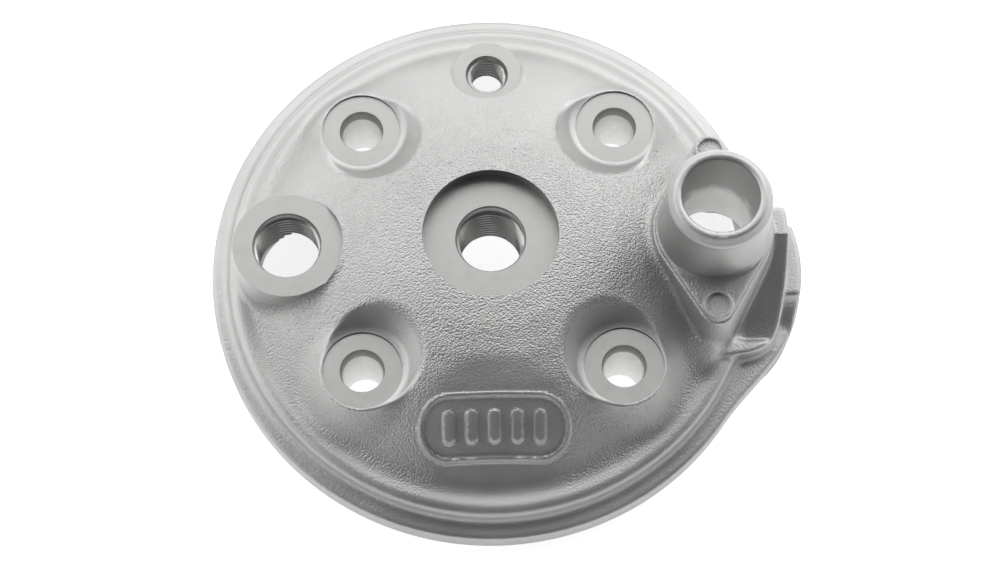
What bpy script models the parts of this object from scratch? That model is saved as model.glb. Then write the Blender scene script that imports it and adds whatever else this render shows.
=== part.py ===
"""Cylinder head of a small liquid-cooled two-stroke engine, with the seals it holds.

The head is one aluminium casting. The origin is the middle of its footprint on the gasket
face, +Z points up along the spark plug's axis and +X towards the coolant neck. The shapes are
drawn about the plug's axis, in an empty that stands PLUG_AXIS_X from the origin.
"""

import bmesh
import bpy
import numpy as np
from math import asin, atan2, cos, pi, radians, sin

MM = 0.001

# Rim: the flange that clamps on the barrel, and the ledge above it.
RIM_R = 58.8 * MM
FLANGE_Z = 5.3 * MM
LOBE_X = 35.0 * MM  # centre and radius of the lobe that the rim grows under the neck
LOBE_Y = -2.0 * MM
LOBE_R = 30.6 * MM
SPOT_DEEP = 0.3 * MM  # skin that the spot facing takes off a cast boss
PLUG_AXIS_X = (RIM_R - LOBE_X - LOBE_R) / 2

# Outside of the casting as radius and height, from the plug recess down to the rim.
DOME = [
    (0.0, 26.0), (14.0, 25.9), (22.0, 24.9), (30.0, 22.6), (38.0, 18.8), (44.0, 14.6),
    (48.2, 10.7), (50.4, 9.5), (53.3, 9.3), (54.3, 8.5), (55.5, 5.3),
]  # fmt: skip
WALL = 4.6 * MM

# Spark plug: a spot-faced recess and an M14 x 1.25 thread, at its tapping-drill radius.
RECESS_R = 14.0 * MM
SEAT_Z = 22.6 * MM
M14_R = 6.4 * MM
M14_MOUTH_R = 7.1 * MM

# Four head studs on a square.
STUD_AT = 26.6 * MM
STUD_FACE_R = 8.2 * MM
STUD_FACE_Z = 18.2 * MM
STUD_BORE_R = 4.15 * MM
STUD_ENTRY_R = 4.8 * MM  # mouth of the bore's tapered entry, which ends at this height
STUD_ENTRY_Z = 15.2 * MM
STUD_BOSS_R = 8.8 * MM
DISH_FLOOR_R = 9.0 * MM  # scoop that clears a socket round each stud's nut
DISH_R = 14.4 * MM

# Sensor boss, opposite the neck, and the bleed boss at the back.
SENSOR_X = -41.9 * MM
SENSOR_R = 11.2 * MM
SENSOR_Z = 21.0 * MM
SENSOR_DEPTH_Z = 12.0 * MM
BLEED_Y = 39.7 * MM
BLEED_R = 7.5 * MM
BLEED_Z = 17.4 * MM
BLEED_DEPTH_Z = 9.6 * MM
M8_R = 3.5 * MM
M8_MOUTH_R = 4.1 * MM

# Coolant neck on its two-eared flange.
NECK_X = 45.7 * MM
NECK_Y = 0.9 * MM
NECK_FLANGE_Z = 24.5 * MM
NECK_TOP_Z = 41.8 * MM
NECK_BASE_R = 11.45 * MM
NECK_TOP_R = 10.4 * MM
NECK_BORE_R = 7.8 * MM
NECK_CHAMFER_WIDE = 1.1 * MM
NECK_CHAMFER_TALL = 1.7 * MM
EAR_AT = 17.1 * MM
EAR_R = 3.4 * MM
NECK_FLANGE_R = 12.1 * MM
DRAFT = 1.0 * MM  # what the flange's pedestal grows by, down to the dome
SADDLE_AT = (42.5 * MM, -15.5 * MM)  # mound that carries the front ear into the dome
SADDLE_Z = 14.5 * MM
SADDLE_TOP_R = 5.0 * MM
SADDLE_FOOT_R = 10.9 * MM
SADDLE_FOOT_Z = 8.0 * MM
SADDLE_REACH_R = 52.0 * MM
PAD_R = 3.1 * MM
PAD_HIGH = 0.8 * MM

# Shoulder under the neck: a lip in front, a pocket that rises from it, and a rib at the back.
SHOULDER_R = 61.7 * MM
SHOULDER_FRONT_Y = -21.2 * MM
SHOULDER_BACK_Y = 11.5 * MM
SHOULDER_CORNER = 3.5 * MM
SHOULDER_IN_X = 40.0 * MM
LIP_Z = 10.4 * MM
LIP_BACK_Y = -18.6 * MM
POCKET_Z = 8.6 * MM
RIB_FRONT_Y = 0.8 * MM
RIB_BACK_Y = 6.8 * MM
RIB_Z = 20.6 * MM
BLOCK_Z = 9.4 * MM
BLOCK_FRONT_Y = -8.5 * MM
BLOCK_BACK_Y = 7.5 * MM
BLOCK_END_LEAN = 0.62  # how far the block's front end runs out, per height

# Maker's panel: a raised stadium line round plain bars.
PANEL_Y = -38.9 * MM
PANEL_HALF_X = 15.4 * MM
PANEL_HALF_Y = 6.1 * MM
PANEL_LINE = 0.6 * MM
PANEL_HIGH = 0.5 * MM
PANEL_BARS = 5
BAR_PITCH = 4.6 * MM
BAR_HALF_X = 1.0 * MM
BAR_HALF_Y = 2.8 * MM

# Underside: combustion chamber, lands, seal grooves and the open coolant jacket.
BORE_R = 25.0 * MM
BOWL_R = 17.5 * MM
BOWL_Z = 8.0 * MM
SQUISH_Z = 0.9 * MM
JACKET_IN_R = 31.4 * MM
JACKET_OUT_R = 50.6 * MM
WELL_R = 53.8 * MM  # the jacket's deeper part, which the neck's bore opens into
WELL_Z = 9.0 * MM
WELL_FRONT_Y = -6.0 * MM
WELL_BACK_Y = 14.2 * MM
WELL_FALL = 2.4
POCKET_R = 9.5 * MM  # round end of the well, straight under the neck's bore
POCKET_TOP_Z = 13.5 * MM
CHAMBER_SEAL_R = 28.2 * MM
COOLANT_SEAL_R = 56.0 * MM
STUD_SEAL_R = 6.3 * MM
SEAL_WIRE_R = 1.1 * MM
STUD_WIRE_R = 0.75 * MM
SEAL_GAP = 0.3 * MM
GASKET_LIFT = 0.1 * MM  # the seals are drawn pressed in, just clear of the gasket face

# Sides of the large round shapes, of the bosses and of the small holes.
ROUND = 60
BOSS_SIDES = 32
HOLE_SIDES = 24

FAR = 5.0 * MM  # how far a cutter runs past the surface that it opens
QUADRANTS = ((1, 1), (-1, 1), (-1, -1), (1, -1))


def clear_scene():
    for obj in list(bpy.data.objects):
        bpy.data.objects.remove(obj)


def material(name, colour, roughness, metallic):
    made = bpy.data.materials.new(name)
    made.use_nodes = True
    shader = made.node_tree.nodes["Principled BSDF"]
    shader.inputs["Base Color"].default_value = (*colour, 1.0)
    shader.inputs["Roughness"].default_value = roughness
    shader.inputs["Metallic"].default_value = metallic
    return made


def new_object(name, bm, parent, at=(0.0, 0.0, 0.0)):
    bmesh.ops.recalc_face_normals(bm, faces=bm.faces)
    mesh = bpy.data.meshes.new(name)
    bm.to_mesh(mesh)
    bm.free()
    obj = bpy.data.objects.new(name, mesh)
    bpy.context.scene.collection.objects.link(obj)
    obj.parent = parent
    obj.location = at
    return obj


def helper(obj):
    obj.hide_render = True
    obj.display_type = "WIRE"
    return obj


def smooth(obj):
    obj.data.shade_smooth()
    obj.data.set_sharp_from_angle(angle=radians(30))


def turned(profile, steps):
    """A solid of revolution about Z. Profile points at radius 0 close it on the axis."""
    bm = bmesh.new()
    rings = []
    for radius, height in profile:
        if radius < 1e-9:
            rings.append([bm.verts.new((0.0, 0.0, height))])
            continue
        angles = [2 * pi * step / steps for step in range(steps)]
        rings.append([bm.verts.new((radius * cos(a), radius * sin(a), height)) for a in angles])
    closed = rings[0] if len(rings[0]) > 1 and len(rings[-1]) > 1 else None
    pairs = list(zip(rings, rings[1:]))
    if closed:
        pairs.append((rings[-1], rings[0]))
    for low, high in pairs:
        for step in range(steps):
            after = (step + 1) % steps
            corners = [low[step % len(low)], low[after % len(low)]]
            corners += [high[after % len(high)], high[step % len(high)]]
            unique = list(dict.fromkeys(corners))
            if len(unique) > 2:
                bm.faces.new(unique)
    return bm


def post(radius, low, high, steps=BOSS_SIDES, top_radius=None):
    """A plain or tapered post about Z."""
    top = radius if top_radius is None else top_radius
    return turned([(0, low), (radius, low), (top, high), (0, high)], steps)


def prism(outline, low, high, top_outline=None):
    """An outline stood up between two heights; top_outline, point for point, gives it a draft."""
    bm = bmesh.new()
    bottom = [bm.verts.new((x, y, low)) for x, y in outline]
    top = [bm.verts.new((x, y, high)) for x, y in (top_outline or outline)]
    bm.faces.new(bottom[::-1])
    bm.faces.new(top)
    for i in range(len(bottom)):
        j = (i + 1) % len(bottom)
        bm.faces.new((bottom[i], bottom[j], top[j], top[i]))
    return bm


def arc(x, y, radius, start, end, steps):
    angles = [start + (end - start) * step / steps for step in range(steps + 1)]
    return [(x + radius * cos(a), y + radius * sin(a)) for a in angles]


def stadium(half_x, half_y, y, steps=8):
    """A rounded-end panel outline, its long side along X."""
    flat = half_x - half_y
    right = arc(flat, y, half_y, -pi / 2, pi / 2, steps)
    return right + arc(-flat, y, half_y, pi / 2, 3 * pi / 2, steps)


def two_eared(middle_r, ear_r):
    """The neck flange's outline: a round middle and two ears along Y, joined by tangents."""
    lean = asin((middle_r - ear_r) / EAR_AT)
    outline = arc(0, 0, middle_r, -lean, lean, 8)
    outline += arc(0, EAR_AT, ear_r, lean, pi - lean, 8)
    outline += arc(0, 0, middle_r, pi - lean, pi + lean, 8)
    return outline + arc(0, -EAR_AT, ear_r, pi + lean, 2 * pi - lean, 8)


def rounded_corner(y):
    """Centre and bearing of the arc that rounds the shoulder's outer corner at this Y."""
    corner_y = abs(y) - SHOULDER_CORNER
    corner_x = ((SHOULDER_R - SHOULDER_CORNER) ** 2 - corner_y**2) ** 0.5
    return corner_x, corner_y, atan2(corner_y, corner_x)


def shoulder_outline(back_y):
    """A slice of a round plate under the neck, with its two outer corners rounded."""
    front_x, front_y, front_turn = rounded_corner(SHOULDER_FRONT_Y)
    back_x, corner_y, back_turn = rounded_corner(back_y)
    outline = [(SHOULDER_IN_X, SHOULDER_FRONT_Y)]
    outline += arc(front_x, -front_y, SHOULDER_CORNER, -pi / 2, -front_turn, 8)
    outline += arc(0, 0, SHOULDER_R, -front_turn, back_turn, 16)[1:-1]
    outline += arc(back_x, corner_y, SHOULDER_CORNER, back_turn, pi / 2, 8)
    return outline + [(SHOULDER_IN_X, back_y)]


def shoulder_profile():
    """Height over Y: flat lip, pocket floor rising in a hollow curve, rib, and its back slope."""
    profile = [(SHOULDER_FRONT_Y - FAR, 1 * MM), (SHOULDER_FRONT_Y - FAR, LIP_Z)]
    profile += [(LIP_BACK_Y - 0.3 * MM, LIP_Z), (LIP_BACK_Y + 0.6 * MM, POCKET_Z)]
    for step in range(1, 11):
        t = step / 10
        y = LIP_BACK_Y + t * (RIB_FRONT_Y - LIP_BACK_Y)
        profile.append((y, POCKET_Z + (RIB_Z - POCKET_Z) * t**1.3))
    profile += [(RIB_BACK_Y, RIB_Z), (SHOULDER_BACK_Y + 0.5 * MM, POCKET_Z)]
    return profile + [(SHOULDER_BACK_Y + FAR, 1 * MM)]


def along_x(outline, low, high):
    """A prism whose outline is given in Y and Z."""
    bm = prism(outline, low, high)
    for vert in bm.verts:
        y, z, x = vert.co
        vert.co = (x, y, z)
    return bm


def dome_height(radius):
    radii = [r * MM for r, _ in DOME]
    heights = [z * MM for _, z in DOME]
    return float(np.interp(radius, radii, heights))


def boolean(target, other, operation):
    """The exact solver leaves open edges on the casting, so every Boolean uses the manifold one."""
    modifier = target.modifiers.new(f"{operation.lower()} {other.name}", "BOOLEAN")
    modifier.operation = operation
    modifier.solver = "MANIFOLD"
    modifier.object = helper(other)
    return target


def trimmed(name, bm, by, parent):
    """A helper solid cut down to what it shares with another."""
    return boolean(new_object(name, bm, parent), by, "INTERSECT")


def casting_body(parent):
    """Dome, ledge and rim, turned in one piece."""
    profile = [(0, 0), (RIM_R, 0), (RIM_R, FLANGE_Z)]
    profile += [(r * MM, z * MM) for r, z in DOME[::-1]]
    return new_object("head_casting", turned(profile, ROUND), parent)


def add_rim_lobe(casting, parent):
    plate = post(LOBE_R, 0, FLANGE_Z, ROUND)
    boolean(casting, new_object("lobe_plate", plate, parent, (LOBE_X, LOBE_Y, 0)), "UNION")
    lean = BLOCK_END_LEAN * (BLOCK_Z - 1 * MM)
    section = [(BLOCK_FRONT_Y - lean, 1 * MM), (BLOCK_BACK_Y, 1 * MM)]
    section += [(BLOCK_BACK_Y, BLOCK_Z), (BLOCK_FRONT_Y, BLOCK_Z)]
    block = along_x(section, NECK_X, RIM_R + 2 * FAR)
    limit_bm = post(LOBE_R - 0.15 * MM, 0.5 * MM, BLOCK_Z + FAR, ROUND)
    limit = new_object("block_limit", limit_bm, parent, (LOBE_X, LOBE_Y, 0))
    boolean(casting, trimmed("lobe_block", block, limit, parent), "UNION")


def add_shoulder(casting, parent):
    slab = prism(shoulder_outline(SHOULDER_BACK_Y), 2 * MM, RIB_Z + FAR)
    profile = along_x(shoulder_profile(), SHOULDER_IN_X - FAR, RIM_R + 2 * FAR)
    limit = new_object("shoulder_profile", profile, parent)
    boolean(casting, trimmed("shoulder", slab, limit, parent), "UNION")


def add_neck(casting, parent):
    cone = post(SADDLE_FOOT_R, SADDLE_FOOT_Z, SADDLE_Z, BOSS_SIDES, SADDLE_TOP_R)
    saddle = new_object("saddle", cone, parent, (*SADDLE_AT, 0))
    reach_bm = post(SADDLE_REACH_R, SADDLE_FOOT_Z - FAR, SADDLE_Z + FAR, ROUND)
    reach = new_object("saddle_reach", reach_bm, parent)
    boolean(casting, boolean(saddle, reach, "INTERSECT"), "UNION")
    at = (NECK_X, NECK_Y, 0)
    foot = two_eared(NECK_FLANGE_R + DRAFT, EAR_R + DRAFT)
    pedestal = prism(foot, 7 * MM, NECK_FLANGE_Z, two_eared(NECK_FLANGE_R, EAR_R))
    boolean(casting, new_object("neck_flange", pedestal, parent, at), "UNION")
    tube = turned(
        [
            (0, NECK_FLANGE_Z - FAR),
            (NECK_BASE_R, NECK_FLANGE_Z - FAR),
            (NECK_BASE_R, NECK_FLANGE_Z),
            (NECK_TOP_R, NECK_TOP_Z - NECK_CHAMFER_TALL),
            (NECK_TOP_R - NECK_CHAMFER_WIDE, NECK_TOP_Z),
            (0, NECK_TOP_Z),
        ],
        BOSS_SIDES,
    )
    boolean(casting, new_object("neck_tube", tube, parent, at), "UNION")
    for side in (-1, 1):
        pad = post(PAD_R, NECK_FLANGE_Z - FAR, NECK_FLANGE_Z + PAD_HIGH, HOLE_SIDES)
        pad_at = (NECK_X, NECK_Y + side * EAR_AT, 0)
        boolean(casting, new_object("ear_pad", pad, parent, pad_at), "UNION")


def add_bosses(casting, parent):
    for x, y in QUADRANTS:
        cast_z = STUD_FACE_Z + SPOT_DEEP
        boss = post(STUD_BOSS_R + 1.5 * MM, FAR, cast_z, BOSS_SIDES, STUD_BOSS_R)
        at = (x * STUD_AT, y * STUD_AT, 0)
        boolean(casting, new_object("stud_boss", boss, parent, at), "UNION")
    sensor = post(SENSOR_R, 4.5 * MM, SENSOR_Z)
    boolean(casting, new_object("sensor_boss", sensor, parent, (SENSOR_X, 0, 0)), "UNION")
    bleed = post(BLEED_R + 1 * MM, FAR, BLEED_Z + SPOT_DEEP, BOSS_SIDES, BLEED_R)
    boolean(casting, new_object("bleed_boss", bleed, parent, (0, BLEED_Y, 0)), "UNION")


def panel_skin(parent):
    """The dome lifted by the panel's relief, which trims the panel's raised lines."""
    profile = [(0, 1 * MM), (50 * MM, 1 * MM)]
    profile += [(r * MM, z * MM + PANEL_HIGH) for r, z in DOME[:8][::-1]]
    return new_object("panel_skin", turned(profile, ROUND), parent)


def add_panel(casting, parent):
    top = SEAT_Z + FAR
    line = new_object(
        "panel_line", prism(stadium(PANEL_HALF_X, PANEL_HALF_Y, PANEL_Y), FAR, top), parent
    )
    hollow = prism(
        stadium(PANEL_HALF_X - PANEL_LINE, PANEL_HALF_Y - PANEL_LINE, PANEL_Y), 0, top + FAR
    )
    boolean(line, new_object("panel_hollow", hollow, parent), "DIFFERENCE")
    skin = panel_skin(parent)
    boolean(casting, boolean(line, skin, "INTERSECT"), "UNION")
    for bar in range(PANEL_BARS):
        x = (bar - (PANEL_BARS - 1) / 2) * BAR_PITCH
        outline = [(u + x, v + PANEL_Y) for v, u in stadium(BAR_HALF_Y, BAR_HALF_X, 0, 6)]
        blank = prism(outline, FAR, top)
        boolean(casting, trimmed("panel_bar", blank, skin, parent), "UNION")


def cut_dishes(casting, parent):
    """Each dish is a cone about its stud: it bites into the dome on the plug's side only."""
    for x, y in QUADRANTS:
        floor_z = STUD_FACE_Z + SPOT_DEEP / 2
        top_z = STUD_FACE_Z + FAR
        dish = post(DISH_FLOOR_R, floor_z, top_z, BOSS_SIDES, DISH_R)
        at = (x * STUD_AT, y * STUD_AT, 0)
        boolean(casting, new_object("dish", dish, parent, at), "DIFFERENCE")


def cut_hole(casting, parent, name, at, steps):
    """A round hole given as radius and height steps, bottom to top."""
    profile = [(0, steps[0][1]), *steps, (0, steps[-1][1])]
    boolean(casting, new_object(name, turned(profile, HOLE_SIDES), parent, at), "DIFFERENCE")


def cut_top_holes(casting, parent):
    mouth = M14_MOUTH_R - M14_R
    plug = [(M14_R, -FAR), (M14_R, SEAT_Z - mouth), (M14_MOUTH_R, SEAT_Z)]
    plug += [(RECESS_R, SEAT_Z), (RECESS_R, SEAT_Z + 2 * FAR)]
    cut_hole(casting, parent, "plug_hole", (0, 0, 0), plug)
    for x, y in QUADRANTS:
        stud = [(STUD_BORE_R, -FAR), (STUD_BORE_R, STUD_ENTRY_Z)]
        stud += [(STUD_ENTRY_R, STUD_FACE_Z), (STUD_FACE_R, STUD_FACE_Z)]
        stud += [(STUD_FACE_R, STUD_FACE_Z + FAR)]
        cut_hole(casting, parent, "stud_hole", (x * STUD_AT, y * STUD_AT, 0), stud)
    sensor = [(M14_R, FLANGE_Z), (M14_R, SENSOR_Z - mouth), (M14_MOUTH_R, SENSOR_Z)]
    sensor += [(M14_MOUTH_R, SENSOR_Z + FAR)]
    cut_hole(casting, parent, "sensor_hole", (SENSOR_X, 0, 0), sensor)
    bleed_mouth = M8_MOUTH_R - M8_R
    bleed = [(M8_R, FLANGE_Z), (M8_R, BLEED_Z - bleed_mouth), (M8_MOUTH_R, BLEED_Z)]
    bleed += [(BLEED_R + SPOT_DEEP, BLEED_Z), (BLEED_R + SPOT_DEEP, BLEED_Z + FAR)]
    cut_hole(casting, parent, "bleed_hole", (0, BLEED_Y, 0), bleed)
    neck = [(NECK_BORE_R, FLANGE_Z + 2 * MM), (NECK_BORE_R, NECK_TOP_Z + FAR)]
    cut_hole(casting, parent, "neck_bore", (NECK_X, NECK_Y, 0), neck)


def jacket_profile():
    """Section of the coolant space: open below, over the chamber, a wall under the dome."""
    roof = [17.6, 26.0, 34.0, 41.0, 47.5]
    profile = [(JACKET_IN_R, -FAR), (JACKET_IN_R, 9.6 * MM), (27 * MM, 12 * MM)]
    profile += [(17.6 * MM, 14.6 * MM)]
    profile += [(r * MM, dome_height(r * MM) - WALL) for r in roof]
    return profile + [(JACKET_OUT_R, 4.2 * MM), (JACKET_OUT_R, -FAR)]


def cut_jacket(casting, parent):
    """The jacket leaves the stud columns standing, and the bosses' threaded walls."""
    jacket = new_object("jacket", turned(jacket_profile(), ROUND), parent)
    for x, y in QUADRANTS:
        column = post(STUD_BOSS_R, -2 * FAR, SEAT_Z + FAR)
        at = (x * STUD_AT, y * STUD_AT, 0)
        boolean(jacket, new_object("stud_column", column, parent, at), "DIFFERENCE")
    wall = post(BLEED_R, BLEED_DEPTH_Z, SEAT_Z + FAR)
    boolean(jacket, new_object("bleed_wall", wall, parent, (0, BLEED_Y, 0)), "DIFFERENCE")
    wall = post(SENSOR_R - 1 * MM, SENSOR_DEPTH_Z, SEAT_Z + FAR)
    boolean(jacket, new_object("sensor_wall", wall, parent, (SENSOR_X, 0, 0)), "DIFFERENCE")
    boolean(casting, jacket, "DIFFERENCE")


def well_outline(back_y):
    """The well in plan: it runs out to WELL_R between its front and this Y."""
    outer = arc(0, 0, WELL_R, asin(WELL_FRONT_Y / WELL_R), asin(back_y / WELL_R), 8)
    return [(SHOULDER_IN_X, WELL_FRONT_Y), *outer, (SHOULDER_IN_X, back_y)]


def cut_well(casting, parent):
    """Its back wall leans in with height, under the ledge."""
    low_y = WELL_BACK_Y + FAR / WELL_FALL
    high_y = WELL_BACK_Y - WELL_Z / WELL_FALL
    well = prism(well_outline(low_y), -FAR, WELL_Z, well_outline(high_y))
    boolean(casting, new_object("neck_well", well, parent), "DIFFERENCE")
    reach = new_object("well_reach", post(WELL_R, -2 * FAR, POCKET_TOP_Z + FAR, ROUND), parent)
    pocket_bm = post(POCKET_R, -FAR, POCKET_TOP_Z, HOLE_SIDES)
    pocket = new_object("neck_pocket", pocket_bm, parent, (NECK_X, NECK_Y, 0))
    boolean(casting, boolean(pocket, reach, "INTERSECT"), "DIFFERENCE")


def cut_chamber(casting, parent):
    """A squish band, sloping up to a bowl round the plug."""
    profile = [(0, -FAR), (BORE_R, -FAR), (BORE_R, SQUISH_Z), (BOWL_R, 2 * SQUISH_Z)]
    bowl = [pi / 2 * step / 5 for step in range(1, 6)]
    rise = BOWL_Z - 2 * SQUISH_Z
    profile += [(BOWL_R * cos(a), 2 * SQUISH_Z + rise * sin(a)) for a in bowl[:-1]]
    profile += [(0, BOWL_Z)]
    boolean(casting, new_object("chamber", turned(profile, ROUND), parent), "DIFFERENCE")


def seal_seats():
    """(name, x, y, ring radius, wire radius) of each seal in the gasket face."""
    seats = [("chamber_seal", 0, 0, CHAMBER_SEAL_R, SEAL_WIRE_R)]
    seats += [("coolant_seal", 0, 0, COOLANT_SEAL_R, SEAL_WIRE_R)]
    for number, (x, y) in enumerate(QUADRANTS, 1):
        at = (x * STUD_AT, y * STUD_AT)
        seats += [(f"stud_seal_{number}", *at, STUD_SEAL_R, STUD_WIRE_R)]
    return seats


def cut_groove(casting, parent, name, x, y, ring_r, wire_r):
    half = wire_r + SEAL_GAP
    deep = GASKET_LIFT + 2 * wire_r + SEAL_GAP
    profile = [(ring_r - half, -FAR), (ring_r + half, -FAR)]
    profile += [(ring_r + half, deep), (ring_r - half, deep)]
    steps = ROUND if ring_r > STUD_BOSS_R else BOSS_SIDES
    groove = new_object(f"{name}_groove", turned(profile, steps), parent, (x, y, 0))
    boolean(casting, groove, "DIFFERENCE")


def add_seal(parent, name, x, y, ring_r, wire_r, rubber):
    """A round-section ring that lies in its groove."""
    height = GASKET_LIFT + wire_r
    sides = 8
    section = arc(ring_r, height, wire_r, 0, 2 * pi * (sides - 1) / sides, sides - 1)
    steps = ROUND if ring_r > STUD_BOSS_R else HOLE_SIDES
    seal = new_object(name, turned(section, steps), parent, (x, y, 0))
    seal.data.materials.append(rubber)
    smooth(seal)


def build():
    clear_scene()
    frame = bpy.data.objects.new("plug_axis", None)
    bpy.context.scene.collection.objects.link(frame)
    frame.location = (PLUG_AXIS_X, 0, 0)

    aluminium = material("cast_aluminium", (0.55, 0.55, 0.54), 0.5, 0.75)
    rubber = material("seal_rubber", (0.02, 0.02, 0.022), 0.6, 0.0)

    casting = casting_body(frame)
    add_rim_lobe(casting, frame)
    add_shoulder(casting, frame)
    add_bosses(casting, frame)
    add_panel(casting, frame)
    cut_dishes(casting, frame)
    add_neck(casting, frame)
    cut_top_holes(casting, frame)
    cut_jacket(casting, frame)
    cut_well(casting, frame)
    cut_chamber(casting, frame)
    for seat in seal_seats():
        cut_groove(casting, frame, *seat)
        add_seal(frame, *seat, rubber)
    casting.data.materials.append(aluminium)
    smooth(casting)


build()
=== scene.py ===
"""Looks of the cylinder head: its casting with cast fillets, grain and cut threads, and its seals.

The casting is drawn as the real one is made. A distance field blends dome, bosses, neck and coolant
jacket with cast fillets, and machining then cuts the flat faces, bores, threads and seal grooves
out of it with sharp edges. Shapes are in millimetres about the spark plug's axis.
"""

from math import asin, cos, pi, radians, sin

import bpy
import numpy as np
import openvdb
from mathutils import Matrix, Vector


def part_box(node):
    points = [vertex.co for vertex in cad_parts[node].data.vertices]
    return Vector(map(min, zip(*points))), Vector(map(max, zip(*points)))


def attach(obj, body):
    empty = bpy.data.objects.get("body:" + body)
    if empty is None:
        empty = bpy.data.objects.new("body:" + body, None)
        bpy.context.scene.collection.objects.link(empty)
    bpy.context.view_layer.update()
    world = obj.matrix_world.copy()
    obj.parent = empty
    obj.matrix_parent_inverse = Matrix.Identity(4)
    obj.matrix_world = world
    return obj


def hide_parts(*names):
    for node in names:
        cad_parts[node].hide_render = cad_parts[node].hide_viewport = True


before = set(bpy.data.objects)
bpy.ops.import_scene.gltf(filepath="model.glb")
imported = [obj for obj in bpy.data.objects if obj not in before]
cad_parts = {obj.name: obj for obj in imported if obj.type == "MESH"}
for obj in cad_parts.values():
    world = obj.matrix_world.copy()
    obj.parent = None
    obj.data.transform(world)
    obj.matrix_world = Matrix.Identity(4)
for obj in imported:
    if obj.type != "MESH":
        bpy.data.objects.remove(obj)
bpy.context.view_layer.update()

MM = 0.001
QUADRANTS = ((1, 1), (-1, 1), (-1, -1), (1, -1))

# The plug's axis and the studs, from the seals that lie round them in the CAD model.
AXIS = (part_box("chamber_seal")[0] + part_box("chamber_seal")[1]) / 2
STUD_SEAL = (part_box("stud_seal_1")[0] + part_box("stud_seal_1")[1]) / 2
STUD_AT = (STUD_SEAL.x - AXIS.x) / MM

RIM_R = 58.8
FLANGE_Z = 5.3
LOBE_X = 35.0
LOBE_Y = -2.0
LOBE_R = 30.6
DOME = (
    (0.0, 26.0), (14.0, 25.9), (20.0, 25.2), (26.0, 23.9), (32.0, 21.8), (38.0, 18.8),
    (42.0, 16.0), (45.0, 13.4), (47.5, 11.1), (48.7, 10.0), (49.7, 9.5), (50.8, 9.3),
    (54.0, 9.45), (70.0, 9.45),
)  # fmt: skip
LEDGE_R = 55.4
LEDGE_DRAFT = 0.2
RIM_TOP_R = 56.0  # where the rim's sloping top is FLANGE_Z high
RIM_TOP_FALL = 0.2
WALL = 4.6

RECESS_R = 14.0
SEAT_Z = 22.6
CHAMBER_Z = 8.0
M14_MINOR_R = 6.4
M14_MAJOR_R = 7.0
M14_PITCH = 1.25
M14_MOUTH_R = 7.2
PLUG_PLAIN = 2.4  # smooth bore above the thread

STUD_FACE_R = 8.2
STUD_FACE_Z = 18.2
STUD_BORE_R = 4.15
STUD_ENTRY_R = 4.5
STUD_ENTRY_Z = 15.2
STUD_BOSS_R = 8.8
STUD_DRAFT = 0.3
STUD_SKIN = 1.0  # metal that spot facing takes off the cast boss
DISH_FLOOR_R = 9.0
DISH_LEAN = 0.88

SENSOR_X = -41.9
SENSOR_R = 11.2
SENSOR_Z = 21.0
SENSOR_WALL_Z = 12.0
SENSOR_DRAFT = 0.02
SENSOR_SKIN = 0.6
SENSOR_NARROW = 1  # what the boss is thinner by inside the jacket
BLEED_Y = 39.7
BLEED_R = 7.5
BLEED_Z = 17.4
BLEED_WALL_Z = 9.6
BLEED_DRAFT = 0.12
BLEED_SKIN = 0.4
M8_MINOR_R = 3.45
M8_MAJOR_R = 4.0
M8_PITCH = 1.25
M8_MOUTH_R = 4.2
SENSOR_PLAIN = 1.9  # smooth bore above the thread
BLEED_PLAIN = 1.0

NECK_X = 45.7
NECK_Y = 0.9
NECK_FLANGE_Z = 24.5
NECK_TOP_Z = 41.8
NECK_TOP_R = 10.4
NECK_TAPER = 0.062
NECK_BORE_R = 7.8
NECK_CHAMFER = (1.1, 1.7)
BEAD_Z = 39.3
BEAD_IN = 0.8
BEAD_R = 1.05
EAR_AT = 17.1
EAR_R = 3.15
NECK_FLANGE_R = 11.9
NECK_STEP = (0.5, 0.9)
DRAFT = 0.05
PAD_R = 3.1
PAD_HIGH = 1.0
PAD_RIM = 0.7
PAD_FLOOR = 0.25

SADDLE_AT = (42.5, -15.5)
SADDLE_Z = 14.5
SADDLE_TOP_R = 5.0
SADDLE_FALL = 1.1
SADDLE_REACH_R = 52.0

SHOULDER_R = 61.7
SHOULDER_FRONT_Y = -21.5
SHOULDER_BACK_Y = 7.5
SHOULDER_TAIL = 4
SHOULDER_IN_X = 40.0
LIP_Z = 9.9
LIP_BACK_Y = -18.3
LIP_MIDDLE_Y = -20
LIP_FALL = 0.14
RIB_FRONT_Y = 0.8
RIB_BACK_Y = 6.8
RIB_Z = 20.6
POCKET_Z = 8.6
BLOCK_Z = 9.4
BLOCK_END_Y = -8.5
BLOCK_END_LEAN = 0.05
BLOCK_END_CURVE = 0.15

PANEL_Y = -38.9
PANEL_HALF_X = 15.4
PANEL_HALF_Y = 6.1
PANEL_LINE = 0.8
PANEL_HIGH = 0.8
PANEL_BARS = 5
BAR_PITCH = 4.6
BAR_HALF_X = 1.05
BAR_HALF_Y = 2.9

BORE_R = 25.0
BOWL_R = 17.5
SQUISH_Z = 0.9
JACKET_IN_R = 31.4
JACKET_OUT_R = 50.6
PLUG_BOSS_R = 17.6
CHAMBER_ROOF = ((0, 14.8), (PLUG_BOSS_R, 14.6), (27, 12.0), (JACKET_IN_R, 9.6))
WELL_R = 53.8
WELL_FRONT_Y = -6.0
WELL_BACK_Y = 14.2
WELL_FALL = 2.4
WELL_Z = 9.0
POCKET_R = 9.5
POCKET_TOP_Z = 13.5
SEAL_WIRE = {"chamber_seal": 1.1, "coolant_seal": 1.1}
STUD_WIRE = 0.75
SEAL_GAP = 0.3
GASKET_LIFT = 0.1
SEAL_SLIM = 0.02  # what a drawn ring is thinner by than the CAD model's
FLASH = 0.04

VOXEL = 0.4
FINE = 0.6
STOCK = 1.0  # metal that machining takes off the gasket face


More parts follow.
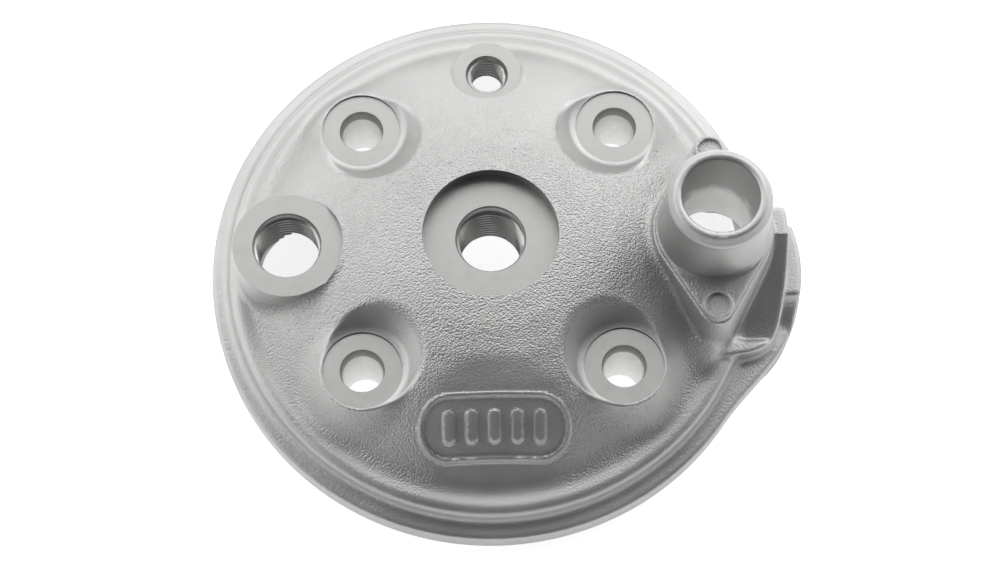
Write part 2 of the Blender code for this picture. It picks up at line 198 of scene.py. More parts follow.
# ---- Distance field -----------------------------------------------------------------------
# A factor under 1 on a sloping surface brings its field back to about a true distance.


def blend_min(a, b, k):
    """Union of two distance fields with a fillet about k wide."""
    near = np.maximum(k - np.abs(a - b), 0) / k
    return np.minimum(a, b) - near * near * k / 4


def blend_max(a, b, k):
    """Intersection with an edge rounded over about k."""
    return -blend_min(-a, -b, k)


def smooth_curve(points, spread):
    """Radii and heights of a smooth curve near these points, as a fine lookup table."""
    step = 0.05
    radii = np.arange(-8, 72, step)
    heights = np.interp(np.abs(radii), *zip(*points))
    reach = np.arange(-4 * spread, 4 * spread, step)
    weights = np.exp(-((reach / spread) ** 2) / 2)
    padded = np.pad(heights, len(reach) // 2, mode="edge")
    smooth = np.convolve(padded, weights / weights.sum(), mode="same")
    return radii, smooth[len(reach) // 2 :][: len(radii)]


DOME_R, DOME_Z = smooth_curve(DOME, 0.8)
DOME_SLOPE = np.gradient(DOME_Z, DOME_R)


def over_dome(r, z, lift):
    """Distance above the dome raised by lift."""
    lean = np.sqrt(1 + np.interp(r, DOME_R, DOME_SLOPE) ** 2)
    return (z - np.interp(r, DOME_R, DOME_Z) - lift) / lean


def two_eared(x, y):
    """Distance from the neck flange's outline: a round middle and two ears along Y."""
    u, v = np.abs(x - NECK_X), np.abs(y - NECK_Y)
    lean = (NECK_FLANGE_R - EAR_R) / EAR_AT
    flat = (1 - lean * lean) ** 0.5
    along = -lean * u + flat * v
    middle = np.hypot(u, v) - NECK_FLANGE_R
    ear = np.hypot(u, v - EAR_AT) - EAR_R
    side = flat * u + lean * v - NECK_FLANGE_R
    return np.where(along < 0, middle, np.where(along > flat * EAR_AT, ear, side))


def stadium(x, y, half_x, half_y):
    """Distance from a stadium that is longer along x."""
    flat = half_x - half_y
    return np.hypot(np.maximum(np.abs(x) - flat, 0), y) - half_y


def stud_distance(x, y):
    """Distance from the nearest stud's axis."""
    return np.hypot(np.abs(x) - STUD_AT, np.abs(y) - STUD_AT)


def rim_and_dome(x, y, z):
    r = np.hypot(x, y)
    dome = blend_max(over_dome(r, z, 0), r - LEDGE_R - LEDGE_DRAFT * (FLANGE_Z - z), 2.0)
    top = z - FLANGE_Z - RIM_TOP_FALL * (RIM_TOP_R - r)
    lobe = np.hypot(x - LOBE_X, y - LOBE_Y) - LOBE_R
    rim = blend_min(r - RIM_R, lobe, 4.0)
    flange = blend_max(rim, top, 0.9)
    return blend_min(dome, flange, 1.6)


def shoulder(x, y, z):
    """Lip, pocket, rib and lobe block round the neck's foot."""
    r = np.hypot(x, y)
    ends = np.maximum(y - SHOULDER_BACK_Y - SHOULDER_TAIL, SHOULDER_FRONT_Y - y)
    plan = np.maximum(blend_max(r - SHOULDER_R, ends, 7.0), SHOULDER_IN_X - x)
    front = np.clip((RIB_FRONT_Y - y) / (RIB_FRONT_Y - LIP_BACK_Y), 0, 1)
    back = np.clip((y - RIB_BACK_Y) / 5, 0, 1)
    crest = POCKET_Z + (RIB_Z - POCKET_Z) * (1 - front) ** 1.3 * (1 - back)
    lip = blend_max(z - LIP_Z + LIP_FALL * (y - LIP_MIDDLE_Y), y - LIP_BACK_Y, 1.2)
    inner = blend_min((z - crest) * 0.85, lip, 0.8)
    body = blend_max(plan, inner, 1.0)
    block = blend_max(np.hypot(x - LOBE_X, y - LOBE_Y) - LOBE_R + 0.2, z - BLOCK_Z, 1.2)
    drop = np.maximum(BLOCK_Z - z, 0)
    end = (BLOCK_END_Y - y - BLOCK_END_LEAN * drop - BLOCK_END_CURVE * drop**2) * 0.8
    block = blend_max(block, np.maximum(end, y - SHOULDER_BACK_Y), 0.8)
    block = np.maximum(block, SHOULDER_IN_X - x)
    return blend_min(body, block, 0.8)


def neck(x, y, z):
    """The coolant neck on its two-eared flange."""
    out, down = NECK_STEP
    plan = two_eared(x, y)
    plate = blend_max(plan - DRAFT * (NECK_FLANGE_Z - z), z - NECK_FLANGE_Z, 0.4)
    step_z = NECK_FLANGE_Z - down
    step = blend_max(plan - out - DRAFT * (step_z - z), z - step_z, 0.4)
    r = np.hypot(x - NECK_X, y - NECK_Y)
    wide, tall = NECK_CHAMFER
    tube = r - NECK_TOP_R - NECK_TAPER * (NECK_TOP_Z - z)
    chamfer = ((r - NECK_TOP_R + wide) * tall + (z - NECK_TOP_Z) * wide) / np.hypot(wide, tall)
    tube = blend_max(blend_max(tube, chamfer, 0.35), z - NECK_TOP_Z, 0.3)
    bead = np.hypot(r - NECK_TOP_R + BEAD_IN, z - BEAD_Z) - BEAD_R
    tube = blend_min(tube, bead, 0.3)
    pad_r = np.hypot(x - NECK_X, np.abs(y - NECK_Y) - EAR_AT)
    pad = blend_max(pad_r - PAD_R, z - NECK_FLANGE_Z - PAD_HIGH, 0.25)
    dish = blend_max(pad_r - PAD_R + PAD_RIM, NECK_FLANGE_Z + PAD_FLOOR - z, 0.2)
    body = blend_min(blend_min(np.minimum(plate, step), pad, 0.1), tube, 0.9)
    return blend_max(body, -dish, 0.2)


def saddle(x, y, z):
    """The cone that carries the front ear down into the dome."""
    away = np.hypot(x - SADDLE_AT[0], y - SADDLE_AT[1])
    cone = (z - SADDLE_Z + SADDLE_FALL * np.maximum(away - SADDLE_TOP_R, 0)) * 0.68
    return blend_max(cone, np.hypot(x, y) - SADDLE_REACH_R, 2.0)


def bosses(x, y, z):
    """The stud, sensor and bleed bosses, before their faces are machined."""
    stud = stud_distance(x, y) - STUD_BOSS_R - STUD_DRAFT * (STUD_FACE_Z - z)
    stud = blend_max(stud, z - STUD_FACE_Z - STUD_SKIN, 0.5)
    sensor = np.hypot(x - SENSOR_X, y) - SENSOR_R - SENSOR_DRAFT * (SENSOR_Z - z)
    sensor = np.maximum(sensor, z - SENSOR_Z - SENSOR_SKIN)
    bleed = np.hypot(x, y - BLEED_Y) - BLEED_R - BLEED_DRAFT * (BLEED_Z - z)
    bleed = blend_max(bleed, z - BLEED_Z - BLEED_SKIN, 0.4)
    return stud, sensor, bleed


def panel(x, y, z):
    """A raised stadium line round plain upright bars, on the dome."""
    line = stadium(x, y - PANEL_Y, PANEL_HALF_X, PANEL_HALF_Y)
    plan = np.abs(line + PANEL_LINE / 2) - PANEL_LINE / 2
    for bar in range(PANEL_BARS):
        middle = (bar - (PANEL_BARS - 1) / 2) * BAR_PITCH
        plan = np.minimum(plan, stadium(y - PANEL_Y, x - middle, BAR_HALF_Y, BAR_HALF_X))
    return blend_max(plan, over_dome(np.hypot(x, y), z, PANEL_HIGH), 0.35)


def coolant_space(x, y, z):
    """The jacket round the chamber, open below, and the neck's bore that leads out of it."""
    r = np.hypot(x, y)
    space = blend_max(r - JACKET_OUT_R, over_dome(r, z, -WALL), 4.0)
    space = blend_max(space, PLUG_BOSS_R - r, 3.0)
    hump = np.interp(r, *zip(*CHAMBER_ROOF))
    chamber = blend_max(r - JACKET_IN_R, (z - hump) * 0.95, 3.0)
    space = blend_max(space, -chamber, 2.0)
    space = blend_max(space, STUD_BOSS_R - stud_distance(x, y), 2.0)
    bleed = np.maximum(np.hypot(x, y - BLEED_Y) - BLEED_R, BLEED_WALL_Z - z)
    sensor = np.maximum(np.hypot(x - SENSOR_X, y) - SENSOR_R + SENSOR_NARROW, SENSOR_WALL_Z - z)
    space = blend_max(space, -np.minimum(bleed, sensor), 1.5)
    well = blend_max(r - WELL_R, np.maximum(WELL_FRONT_Y - y, SHOULDER_IN_X - x), 2.0)
    roof = np.maximum(z - WELL_Z, (z - WELL_FALL * (WELL_BACK_Y - y)) / np.hypot(1, WELL_FALL))
    space = blend_min(space, blend_max(well, roof, 1.5), 1.5)
    neck_r = np.hypot(x - NECK_X, y - NECK_Y)
    pocket = blend_max(neck_r - POCKET_R, np.maximum(z - POCKET_TOP_Z, r - WELL_R), 1.5)
    space = blend_min(space, pocket, 1.0)
    bore = np.maximum(neck_r - NECK_BORE_R, FLANGE_Z + 2 - z)
    return blend_min(space, bore, 1.0)


def casting_field(x, y, z):
    """Signed distance from the raw casting, before machining, in millimetres."""
    stud, sensor, bleed = bosses(x, y, z)
    solid = blend_min(rim_and_dome(x, y, z), stud, 3.5)
    solid = blend_min(solid, panel(x, y, z), 0.5)
    q = stud_distance(x, y)
    floor = STUD_FACE_Z + 0.4
    dish = blend_max(floor - z, (q - DISH_FLOOR_R - DISH_LEAN * (z - floor)) * 0.75, 1.0)
    solid = blend_max(solid, -dish, 0.5)
    solid = blend_min(solid, sensor, 2.0)
    solid = blend_min(solid, bleed, 1.6)
    solid = blend_min(solid, saddle(x, y, z), 2.2)
    fillet = 1.1 + 1.1 * np.clip((y + 17) / 4, 0, 1)
    solid = blend_min(solid, neck(x, y, z), fillet)
    fillet = 0.9 + 0.7 * np.clip((-16 - y) / 3, 0, 1)
    solid = blend_min(solid, shoulder(x, y, z), fillet)
    solid = blend_max(solid, -coolant_space(x, y, z), 0.8)
    return np.maximum(solid, -STOCK - z)


def grid_side(low, high, *fine):
    """Grid planes from low to high, closer together inside the fine stretches."""
    planes = [low]
    while planes[-1] < high:
        close = any(a <= planes[-1] <= b for a, b in fine)
        planes.append(planes[-1] + VOXEL * (FINE if close else 1.0))
    return np.array(planes, np.float32)


def field_mesh(name, field, sides):
    """A mesh of where a field is zero, its points moved onto the field's own surface."""
    x, y, z = sides[0][:, None, None], sides[1][None, :, None], sides[2][None, None, :]
    values = np.empty([len(side) for side in sides], np.float32)
    band = 24
    for start in range(0, len(sides[0]), band):
        part = slice(start, start + band)
        values[part] = np.clip(field(x[part], y, z), -3 * VOXEL, 3 * VOXEL)
    grid = openvdb.FloatGrid(3 * VOXEL)
    grid.copyFromArray(values)
    points, quads = grid.convertToQuads(0.0)
    points = np.column_stack([
        np.interp(place, np.arange(len(side)), side) for place, side in zip(points.T, sides)
    ])
    step = 0.05
    for _ in range(3):
        here = field(*points.T)
        slope = np.empty_like(points)
        for axis in range(3):
            ahead = points.copy()
            ahead[:, axis] += step
            slope[:, axis] = (field(*ahead.T) - here) / step
        length = np.maximum((slope**2).sum(1), 0.2)
        move = slope * (here / length)[:, None]
        points -= np.clip(move, -VOXEL / 2, VOXEL / 2)
    mesh = bpy.data.meshes.new(name)
    mesh.from_pydata((points * MM).tolist(), [], np.asarray(quads)[:, ::-1].tolist())
    mesh.update()
    return mesh


# ---- Machining ----------------------------------------------------------------------------


def thread_radius(minor, major, pitch, height, angle):
    """A right-hand thread with sloping flanks: the wall's radius at this height and angle."""
    phase = (height / pitch - angle / (2 * pi)) % 1.0
    ramp = np.clip(2.2 * np.abs(phase - 0.5) * 2 - 0.6, 0, 1)
    return minor + (major - minor) * ramp


def tapped_wall(minor, major, pitch, low, high):
    """Profile pairs of a thread from low to high, about eight to a turn."""

    def shape(height, angles):
        return thread_radius(minor, major, pitch, height, angles)

    rows = int((high - low) / pitch * 8)
    return [(low + (high - low) * i / rows, shape) for i in range(rows + 1)]


def lathe_rings(profile, steps):
    """Rings of radius by angle from (height, radius or thread) pairs, bottom to top."""
    angles = np.arange(steps) * 2 * pi / steps
    rings = []
    for height, shape in profile:
        if callable(shape):
            radius = shape(height, angles)
        else:
            radius = np.full(steps, shape, float)
        across = radius * np.cos(angles), radius * np.sin(angles)
        rings.append(np.column_stack([*across, np.full(steps, height)]))
    return rings


class Cutter:
    """Gathers closed cutting solids that don't meet each other into one mesh."""

    def __init__(self):
        self.points = []
        self.faces = []
        self.slots = []

    def turn(self, profile, at=(0, 0), steps=96, closed_ring=False, bore=None):
        """Adds a turned solid. Threads take material slot 2, walls of radius bore 3, the rest 1."""
        first = len(self.points)
        rings = lathe_rings(profile, steps)
        for ring in rings:
            self.points += (ring + (at[0], at[1], 0)).tolist()
        count = len(rings)
        pairs = [(i, i + 1) for i in range(count - 1)]
        if closed_ring:
            pairs.append((count - 1, 0))
        for low, high in pairs:
            shapes = profile[low][1], profile[high][1]
            slot = 2 if all(map(callable, shapes)) else 3 if shapes == (bore, bore) else 1
            for i in range(steps):
                j = (i + 1) % steps
                a, b = first + low * steps, first + high * steps
                self.faces.append((a + i, a + j, b + j, b + i))
                self.slots.append(slot)
        if not closed_ring:
            top = first + (count - 1) * steps
            self.faces.append(tuple(range(first + steps - 1, first - 1, -1)))
            self.faces.append(tuple(range(top, top + steps)))
            self.slots += [1, 1]

    def mesh(self, name):
        mesh = bpy.data.meshes.new(name)
        mesh.from_pydata((np.array(self.points) * MM).tolist(), [], self.faces)
        mesh.polygons.foreach_set("material_index", self.slots)
        mesh.update()
        return mesh


def machining():
    """Everything that tools cut out of the casting after the gasket face is milled."""
    cut = Cutter()
    rise = CHAMBER_Z - 2 * SQUISH_Z
    bowl = [pi / 2 * step / 16 for step in range(17)]
    plug = [(-4.0, BORE_R), (SQUISH_Z, BORE_R)]
    plug += [(2 * SQUISH_Z + rise * sin(a), BOWL_R * cos(a)) for a in bowl]
    plug = [pair for pair in plug if pair[1] > M14_MINOR_R - 0.1]
    thread_top = SEAT_Z - PLUG_PLAIN
    plug += tapped_wall(M14_MINOR_R, M14_MAJOR_R, M14_PITCH, plug[-1][0] + 0.3, thread_top)
    plug += [(thread_top, M14_MAJOR_R), (SEAT_Z - 0.35, M14_MAJOR_R + 0.03)]
    plug += [(SEAT_Z, M14_MOUTH_R + 0.1), (SEAT_Z, RECESS_R), (SEAT_Z + 8, RECESS_R)]
    cut.turn(plug, steps=144)
    for x, y in QUADRANTS:
        stud = [(-4.0, STUD_BORE_R + 0.5), (0.0, STUD_BORE_R + 0.5), (0.5, STUD_BORE_R)]
        stud += [(STUD_ENTRY_Z, STUD_BORE_R), (STUD_FACE_Z - 0.15, STUD_ENTRY_R)]
        stud += [(STUD_FACE_Z, STUD_ENTRY_R + 0.1)]
        stud += [(STUD_FACE_Z, STUD_FACE_R), (STUD_FACE_Z + 9, STUD_FACE_R)]
        cut.turn(stud, (x * STUD_AT, y * STUD_AT), bore=STUD_BORE_R)
    sensor = [(FLANGE_Z, M14_MINOR_R), (SENSOR_WALL_Z - 3, M14_MINOR_R)]
    thread_top = SENSOR_Z - SENSOR_PLAIN
    sensor += tapped_wall(M14_MINOR_R, M14_MAJOR_R, M14_PITCH, SENSOR_WALL_Z - 2.9, thread_top)
    sensor += [(thread_top, M14_MAJOR_R - 0.1), (SENSOR_Z - 0.3, M14_MAJOR_R - 0.08)]
    sensor += [(SENSOR_Z, M14_MOUTH_R - 0.1), (SENSOR_Z, SENSOR_R + 0.4), (SENSOR_Z + 4, SENSOR_R + 0.4)]
    cut.turn(sensor, (SENSOR_X, 0), steps=144)
    bleed = [(FLANGE_Z, M8_MINOR_R), (BLEED_WALL_Z - 2, M8_MINOR_R)]
    thread_top = BLEED_Z - BLEED_PLAIN
    bleed += tapped_wall(M8_MINOR_R, M8_MAJOR_R, M8_PITCH, BLEED_WALL_Z - 1.9, thread_top)
    bleed += [(thread_top, M8_MAJOR_R), (BLEED_Z, M8_MOUTH_R + 0.3)]
    bleed += [(BLEED_Z, BLEED_R), (BLEED_Z + 6, BLEED_R)]
    cut.turn(bleed, (0, BLEED_Y))
    for name, x, y, ring_r, wire in seal_seats():
        half, deep = wire + SEAL_GAP, GASKET_LIFT + 2 * wire + SEAL_GAP
        groove = [(-2.0, ring_r + half), (deep, ring_r + half), (deep, ring_r - half)]
        groove += [(-2.0, ring_r - half)]
        cut.turn(groove, (x, y), steps=192 if ring_r > 10 else 72, closed_ring=True)
    return cut


def seal_seats():
    """(node, x, y, ring radius, wire radius) of each seal, from its box in the CAD model."""
    seats = []
    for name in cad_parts:
        if "seal" not in name:
            continue
        low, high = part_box(name)
        wire = SEAL_WIRE.get(name, STUD_WIRE)
        middle = (low + high) / 2 - AXIS
        seats.append((name, middle.x / MM, middle.y / MM, (high.x - low.x) / MM / 2 - wire, wire))
    return seats


def gasket_block():
    """The milling cut that leaves the gasket face flat at height 0, as a block topped by squares."""
    sides = np.linspace(-80.0, 80.0, 65)
    count = len(sides)
    cut = Cutter()
    cut.points = [(x, y, 0.0) for y in sides for x in sides]
    cut.faces = [
        (row + i, row + i + 1, row + count + i + 1, row + count + i)
        for row in range(0, count * (count - 1), count)
        for i in range(count - 1)
    ]
    last = count - 1
    front = list(range(count))
    right = [row * count + last for row in range(count)]
    back = [last * count + i for i in range(last, -1, -1)]
    left = [row * count for row in range(last, -1, -1)]
    low = len(cut.points)
    cut.points += [(sides[i], sides[j], -6.0) for i, j in ((0, 0), (-1, 0), (-1, -1), (0, -1))]
    for side, edge in enumerate((front, right, back, left)):
        cut.faces.append((low + (side + 1) % 4, *reversed(edge), low + side))
    cut.faces.append((low + 3, low + 2, low + 1, low))
    cut.slots = [1] * len(cut.faces)
    return cut


# ---- Materials ----------------------------------------------------------------------------


class Nodes:
    """Short names for building a material's node tree."""

    def __init__(self, name):
        self.material = bpy.data.materials.new(name)
        self.material.use_nodes = True
        self.tree = self.material.node_tree
        self.shader = self.tree.nodes["Principled BSDF"]

    def add(self, kind, **settings):
        node = self.tree.nodes.new(kind)
        for key, value in settings.items():
            setattr(node, key, value)
        return node

    def link(self, source, target):
        self.tree.links.new(source, target)

    def set(self, node, **values):
        for key, value in values.items():
            node.inputs[key.replace("_", " ")].default_value = value
        return node

    def math(self, operation, a, b=None, clamp=False):
        node = self.add("ShaderNodeMath", operation=operation, use_clamp=clamp)
        for socket, value in zip(node.inputs, (a, b)):
            if value is None:
                continue
            if isinstance(value, (int, float)):
                socket.default_value = value
            else:
                self.link(value, socket)
        return node.outputs[0]

    def position(self):
        return self.add("ShaderNodeTexCoord").outputs["Object"]

    def split(self, vector):
        node = self.add("ShaderNodeSeparateXYZ")
        self.link(vector, node.inputs[0])
        return node.outputs

    def distance(self, vector, place):
        """Distance from a place given in metres."""
        node = self.add("ShaderNodeVectorMath", operation="DISTANCE")
        self.link(vector, node.inputs[0])
        node.inputs[1].default_value = place
        return node.outputs["Value"]

    def ring(self, dx, dy):
        """Distance from an axis, from the two offsets across it."""
        squares = self.math("MULTIPLY", dx, dx), self.math("MULTIPLY", dy, dy)
        return self.math("SQRT", self.math("ADD", *squares))

    def cells(self, vector, scale):
        """Distance from the nearest of many scattered points."""
        node = self.set(self.add("ShaderNodeTexVoronoi"), Scale=scale)
        self.link(vector, node.inputs["Vector"])
        return node.outputs["Distance"]

    def noise(self, vector, scale, detail=2.0, roughness=0.5, distortion=0.0):
        node = self.add("ShaderNodeTexNoise")
        self.set(node, Scale=scale, Detail=detail, Roughness=roughness, Distortion=distortion)
        self.link(vector, node.inputs["Vector"])
        return node.outputs["Fac"]

    def ramp(self, value, *stops):
        node = self.add("ShaderNodeValToRGB")
        while len(node.color_ramp.elements) < len(stops):
            node.color_ramp.elements.new(0.5)
        for element, (at, colour) in zip(node.color_ramp.elements, stops):
            element.position = at
            element.color = (*colour, 1.0)
        self.link(value, node.inputs[0])
        return node.outputs["Color"]

    def remap(self, value, low, high, to_low=0.0, to_high=1.0):
        node = self.add("ShaderNodeMapRange", interpolation_type="SMOOTHSTEP")
        for socket, number in zip(node.inputs[1:5], (low, high, to_low, to_high)):
            socket.default_value = number
        self.link(value, node.inputs[0])
        return node.outputs[0]

    def bump(self, height, strength, distance, normal=None):
        node = self.set(self.add("ShaderNodeBump"), Strength=strength, Distance=distance)
        self.link(height, node.inputs["Height"])
        if normal is not None:
            self.link(normal, node.inputs["Normal"])
        return node.outputs["Normal"]

    def mix(self, factor, a, b):
        node = self.add("ShaderNodeMix", data_type="RGBA")
        if isinstance(factor, (int, float)):
            node.inputs[0].default_value = factor
        else:
            self.link(factor, node.inputs[0])
        for socket, value in ((node.inputs[6], a), (node.inputs[7], b)):
            if hasattr(value, "__len__"):
                socket.default_value = (*value, 1.0)
            else:
                self.link(value, socket)
        return node.outputs[2]


def cast_material():
    """Cast aluminium: a pebbled skin, smoother near the rim, the back, the panel, the neck and the
    stud dishes, and painted light low in the neck's bore, a ragged bright patch near its open lower end.
    """
    n = Nodes("cast_aluminium_skin")
    at = n.position()
    x, y, z = n.split(at)
    pebbles = n.math("SUBTRACT", 1.0, n.cells(at, 2400.0))
    fine = n.noise(at, 1500.0, 4.0, 0.7)
    broad = n.noise(at, 45.0, 3.0, 0.55)
    height = n.math("ADD", pebbles, n.math("MULTIPLY", fine, 0.8))
    radius = n.ring(x, y)
    smooth_rim = n.remap(radius, 49 * MM, 51.5 * MM, 1.0, 0.35)
    smooth_back = n.remap(y, 26 * MM, 44 * MM, 1.0, 0.4)
    smooth_front = n.remap(n.distance(at, (0, -60 * MM, 10 * MM)), 15 * MM, 20 * MM, 0.5, 1.0)
    smooth_panel = n.remap(n.distance(at, (0, PANEL_Y * MM, 16 * MM)), 13 * MM, 17 * MM, 0.4, 1.0)
    smooth_neck = n.remap(n.distance(at, (NECK_X * MM, 0, 34 * MM)), 13 * MM, 18 * MM, 0.2, 1.0)
    in_dish = n.ring(
        n.math("SUBTRACT", n.math("ABSOLUTE", x), (STUD_AT - 1.7) * MM),
        n.math("SUBTRACT", n.math("ABSOLUTE", y), (STUD_AT - 1.7) * MM),
    )
    smooth_dish = n.remap(in_dish, 10.1 * MM, 11.0 * MM, 0.2, 1.0)
    for mask in (smooth_rim, smooth_back, smooth_front, smooth_neck, smooth_dish, smooth_panel):
        height = n.math("MULTIPLY", height, mask)
    shade = n.ramp(broad, (0.3, (0.40, 0.40, 0.395)), (0.7, (0.47, 0.47, 0.465)))
    neck_x = n.math("SUBTRACT", x, NECK_X * MM)
    neck_y = n.math("SUBTRACT", y, NECK_Y * MM)
    # Painted light: the lower part of the neck's bore is coloured bright, with a ragged upper edge.
    in_bore = n.remap(n.ring(neck_x, neck_y), 8.1 * MM, 8.6 * MM, 1.0, 0.0)
    ragged = n.math("ADD", z, n.math("MULTIPLY", n.noise(at, 160.0, 3.0, 0.6), 12 * MM))
    painted_bore_light = n.math("MULTIPLY", in_bore, n.remap(ragged, 30 * MM, 36 * MM, 1.0, 0.0))
    n.link(n.mix(painted_bore_light, shade, (0.88, 0.88, 0.87)), n.shader.inputs["Base Color"])
    n.link(n.remap(broad, 0.3, 0.7, 0.44, 0.5), n.shader.inputs["Roughness"])
    n.set(n.shader, Metallic=0.75)
    n.link(n.bump(height, 1.0, 0.15 * MM), n.shader.inputs["Normal"])
    return n.material


def machined_material():
    """Turned faces: fine rings round each hole's own axis."""
    n = Nodes("machined_aluminium")
    at = n.position()
    x, y, z = n.split(at)
    stud_x = n.math("SUBTRACT", n.math("ABSOLUTE", x), STUD_AT * MM)
    stud_y = n.math("SUBTRACT", n.math("ABSOLUTE", y), STUD_AT * MM)
    axes = [n.ring(x, y), n.ring(stud_x, stud_y)]
    axes.append(n.ring(n.math("SUBTRACT", x, SENSOR_X * MM), y))
    axes.append(n.ring(x, n.math("SUBTRACT", y, BLEED_Y * MM)))
    nearest = axes[0]
    for other in axes[1:]:
        nearest = n.math("MINIMUM", nearest, other)
    rings = n.math("SINE", n.math("MULTIPLY", nearest, 2 * pi / (0.32 * MM)))
    wear = n.noise(at, 260.0, 4.0, 0.6)
    colour = n.ramp(wear, (0.3, (0.35, 0.35, 0.343)), (0.7, (0.41, 0.41, 0.402)))
    n.link(colour, n.shader.inputs["Base Color"])
    n.link(n.remap(wear, 0.3, 0.7, 0.38, 0.48), n.shader.inputs["Roughness"])
    n.set(n.shader, Metallic=0.85)
    n.link(n.bump(rings, 0.25, 0.02 * MM), n.shader.inputs["Normal"])
    return n.material


def thread_material():
    """Tapped walls, a little shinier than the faces."""
    n = Nodes("tapped_thread")
    wear = n.noise(n.position(), 900.0, 3.0, 0.6)
    colour = n.ramp(wear, (0.3, (0.36, 0.36, 0.35)), (0.7, (0.46, 0.46, 0.45)))
    n.link(colour, n.shader.inputs["Base Color"])
    n.link(n.remap(wear, 0.3, 0.7, 0.3, 0.42), n.shader.inputs["Roughness"])
    n.set(n.shader, Metallic=0.85)
    n.link(n.bump(wear, 0.2, 0.03 * MM), n.shader.inputs["Normal"])
    return n.material


def lit_bore_material():
    """Drilled stud bores with painted light: their colour is made far brighter than the faces, standing
    in for the floor's light reflected up the bores.
    """
    n = Nodes("drilled_bore_painted_light")
    wear = n.noise(n.position(), 420.0, 4.0, 0.65)
    colour = n.ramp(wear, (0.3, (0.80, 0.80, 0.79)), (0.7, (0.93, 0.93, 0.92)))
    n.link(colour, n.shader.inputs["Base Color"])
    n.link(n.remap(wear, 0.3, 0.7, 0.3, 0.5), n.shader.inputs["Roughness"])
    n.set(n.shader, Metallic=0.6)
    n.link(n.bump(wear, 0.3, 0.04 * MM), n.shader.inputs["Normal"])
    return n.material


def rubber_material():
    """Matt black rubber."""
    n = Nodes("seal_rubber")
    skin = n.noise(n.position(), 1500.0, 3.0, 0.6)
    colour = n.ramp(skin, (0.3, (0.012, 0.012, 0.013)), (0.7, (0.022, 0.022, 0.023)))
    n.link(colour, n.shader.inputs["Base Color"])
    n.link(n.remap(skin, 0.3, 0.7, 0.5, 0.66), n.shader.inputs["Roughness"])
    n.link(n.bump(skin, 0.25, 0.03 * MM), n.shader.inputs["Normal"])
    return n.material


# ---- Pieces -------------------------------------------------------------------------------


def placed(name, mesh, at, materials):
    """A new object in the scene, with these materials on its mesh."""
    obj = bpy.data.objects.new(name, mesh)
    bpy.context.scene.collection.objects.link(obj)
    obj.location = at
    for material in materials:
        mesh.materials.append(material)
    return obj


def cut_away(target, cutter_mesh, materials):
    """Cuts a mesh out of target for good, leaving the cutter's materials on the cut faces."""
    cutter = placed("cutter", cutter_mesh, target.location, materials)
    modifier = target.modifiers.new("cut", "BOOLEAN")
    modifier.operation = "DIFFERENCE"
    modifier.solver = "MANIFOLD"
    modifier.object = cutter
    graph = bpy.context.evaluated_depsgraph_get()
    done = bpy.data.meshes.new_from_object(target.evaluated_get(graph))
    target.modifiers.remove(modifier)
    target.data = done
    bpy.data.objects.remove(cutter)


def build_casting():
    """The casting: its field as a mesh, milled flat below and then machined."""
    ear_front, ear_back = NECK_Y - EAR_AT, NECK_Y + EAR_AT
    sides = (
        grid_side(-RIM_R - 2, LOBE_X + LOBE_R + 2, (NECK_X - 8, NECK_X + 8)),
        grid_side(
            -RIM_R - 2, RIM_R + 2, (PANEL_Y - 7, PANEL_Y + 7),
            (ear_front - 4, ear_front + 4), (ear_back - 4, ear_back + 4),
        ),
        grid_side(-STOCK - 1.2, NECK_TOP_Z + 2, (NECK_FLANGE_Z - 1.5, NECK_FLANGE_Z + 1.2)),
    )  # fmt: skip
    mesh = field_mesh("casting", casting_field, sides)
    # The fourth material, on the stud bores, is painted light: a bright colour for the floor's light
    # seen up the bores.
    materials = [cast_material(), machined_material(), thread_material(), lit_bore_material()]
    casting = placed("casting", mesh, (AXIS.x, 0, 0), materials)
    cut_away(casting, gasket_block().mesh("gasket_block"), materials)
    cut_away(casting, machining().mesh("machining"), materials)
    casting.data.shade_smooth()
    casting.data.set_sharp_from_angle(angle=radians(32))
    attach(casting, "root")
    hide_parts("head_casting")


def build_seals():
    """Moulded rings with the fine parting line that the mould leaves round them."""
    rubber = rubber_material()
    for name, x, y, ring_r, wire in seal_seats():
        tube_r = wire - SEAL_SLIM
        around = 256 if ring_r > 10 else 96
        section = 24
        points, faces = [], []
        for i in range(around):
            a = 2 * pi * i / around
            for j in range(section):
                b = 2 * pi * j / section
                flash = FLASH if j in (0, section // 2) else 0.0
                r = ring_r + (tube_r + flash / 2) * cos(b)
                points.append((r * cos(a) * MM, r * sin(a) * MM, tube_r * sin(b) * MM))
                after, up = (i + 1) % around, (j + 1) % section
                here, there = i * section, after * section
                faces.append((here + j, there + j, there + up, here + up))
        mesh = bpy.data.meshes.new(f"{name}_ring")
        mesh.from_pydata(points, [], faces)
        mesh.shade_smooth()
        at = (AXIS.x + x * MM, y * MM, (GASKET_LIFT + wire) * MM)
        ring = placed(f"{name}_ring", mesh, at, [rubber])
        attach(ring, "root")
        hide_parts(name)


# ---- Stage --------------------------------------------------------------------------------


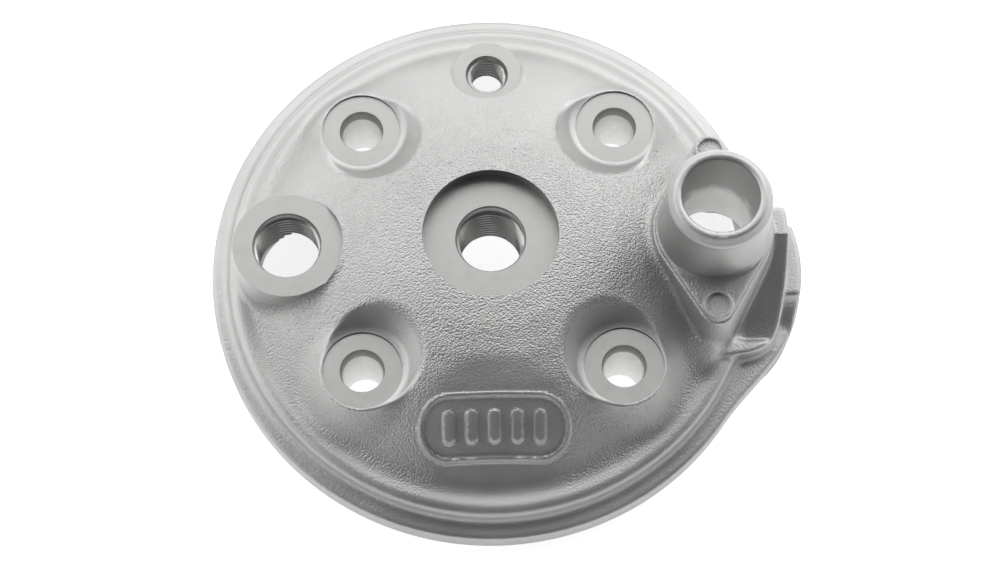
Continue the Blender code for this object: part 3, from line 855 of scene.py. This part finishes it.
def build_floor():
    """A pale floor that glows a little, so that it shows white through the holes."""
    n = Nodes("floor_paper")
    n.set(n.shader, Roughness=0.9)
    n.shader.inputs["Base Color"].default_value = (0.9, 0.9, 0.9, 1)
    n.shader.inputs["Emission Color"].default_value = (1, 1, 1, 1)
    n.shader.inputs["Emission Strength"].default_value = 0.75
    size = 1.5
    mesh = bpy.data.meshes.new("floor")
    corners = [(-size, -size, 0), (size, -size, 0), (size, size, 0), (-size, size, 0)]
    mesh.from_pydata(corners, [], [(0, 1, 2, 3)])
    floor = placed("floor", mesh, (0, 0, -0.0005), [n.material])


def area_light(name, at, size, power, aim=(0, 0, 0.02)):
    light = bpy.data.lights.new(name, "AREA")
    light.shape = "RECTANGLE"
    light.size, light.size_y = size
    light.energy = power
    obj = bpy.data.objects.new(name, light)
    bpy.context.scene.collection.objects.link(obj)
    obj.location = at
    obj.rotation_euler = (Vector(aim) - Vector(at)).to_track_quat("-Z", "Y").to_euler()


def build_light():
    world = bpy.data.worlds.new("studio")
    bpy.context.scene.world = world
    world.use_nodes = True
    background = world.node_tree.nodes["Background"]
    background.inputs["Color"].default_value = (1, 1, 1, 1)
    background.inputs["Strength"].default_value = 0.1
    area_light("back softbox", (0.0, 0.62, 0.72), (1.7, 0.8), 10.2)
    area_light("back low softbox", (0.0, 1.0, 0.3), (2.0, 0.5), 2.5)
    area_light("left softbox", (-0.8, 0.1, 0.4), (1.0, 0.7), 4.6)
    area_light("right softbox", (0.75, 0.42, 0.42), (1.0, 0.7), 4.0)


def build_camera():
    azimuth, elevation, roll = radians(-2.46), radians(69.02), radians(1.28)
    distance = 0.5437
    target = Vector((AXIS.x + 2.07 * MM, -0.64 * MM, 0))
    back = Vector((sin(azimuth) * cos(elevation), -cos(azimuth) * cos(elevation), sin(elevation)))
    right = Vector((0, 0, 1)).cross(back).normalized()
    up = back.cross(right)
    turned_right = right * cos(roll) + up * sin(roll)
    turned_up = up * cos(roll) - right * sin(roll)
    data = bpy.data.cameras.new("camera")
    data.sensor_width = 36
    data.lens = 36 * 2.548
    camera = bpy.data.objects.new("camera", data)
    bpy.context.scene.collection.objects.link(camera)
    camera.matrix_world = Matrix.Translation(target + back * distance) @ Matrix(
        (turned_right, turned_up, back)
    ).transposed().to_4x4()
    bpy.context.scene.camera = camera


build_casting()
build_seals()
build_floor()
build_light()
build_camera()
bpy.context.scene.view_settings.view_transform = "Standard"
